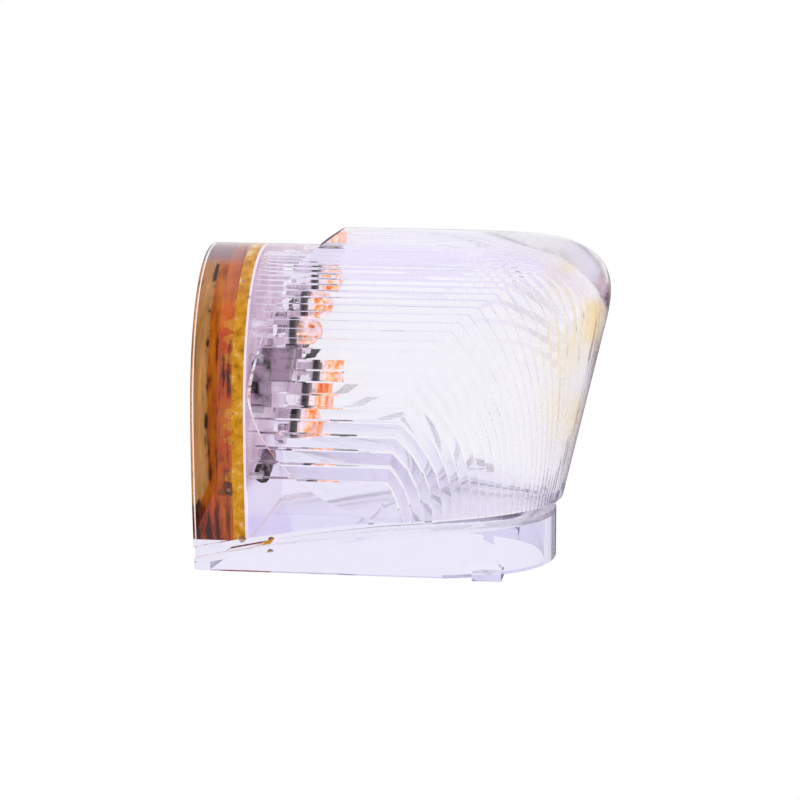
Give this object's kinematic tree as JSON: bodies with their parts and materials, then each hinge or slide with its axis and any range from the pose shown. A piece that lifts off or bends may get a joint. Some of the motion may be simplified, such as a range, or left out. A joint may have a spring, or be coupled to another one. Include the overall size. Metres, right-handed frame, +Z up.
{
  "type": "vehicle indicator lamp",
  "caption": "Clear arched vehicle indicator lamp with a fluted one-piece lens, LEDs on a board, amber potting and a grooved foot.",
  "frame": {"origin": "centre of the lamp's bounding box at the foot's bottom rim, which is z = 0", "axes": "+X from the potted back towards the lens's nose, +Z up from the foot to the crest, the lamp is the same on both sides of the XZ plane"},
  "size_m": [0.0458, 0.0304, 0.0375],
  "materials": {
    "clear_lens": "gloss",
    "board_laminate": "satin",
    "copper": "satin",
    "solder": "satin",
    "resin": "gloss",
    "led_epoxy": "gloss",
    "tinned_steel": "satin",
    "resistor_coating": "satin",
    "black_epoxy": "matte",
    "wire_black": "satin",
    "wire_white": "satin"
  },
  "bodies": {
    "root": {"lens_body": "clear_lens", "circuit_board": "board_laminate", "copper_pads": "copper", "solder_joints": "solder", "potting_resin": "resin", "led_body_1": "led_epoxy", "led_body_2": "led_epoxy", "led_body_3": "led_epoxy", "led_body_4": "led_epoxy", "led_body_5": "led_epoxy", "led_body_6": "led_epoxy", "led_frame_1": "tinned_steel", "led_frame_2": "tinned_steel", "led_frame_3": "tinned_steel", "led_frame_4": "tinned_steel", "led_frame_5": "tinned_steel", "led_frame_6": "tinned_steel", "series_resistor_1": "resistor_coating", "series_resistor_2": "resistor_coating", "polarity_diode": "black_epoxy", "driver_transistor_1": "black_epoxy", "driver_transistor_2": "black_epoxy", "component_leads": "tinned_steel", "wire_sleeve_1": "wire_black", "wire_sleeve_2": "wire_white", "wire_core_1": "copper", "wire_core_2": "copper"}
  },
  "joints": []
}
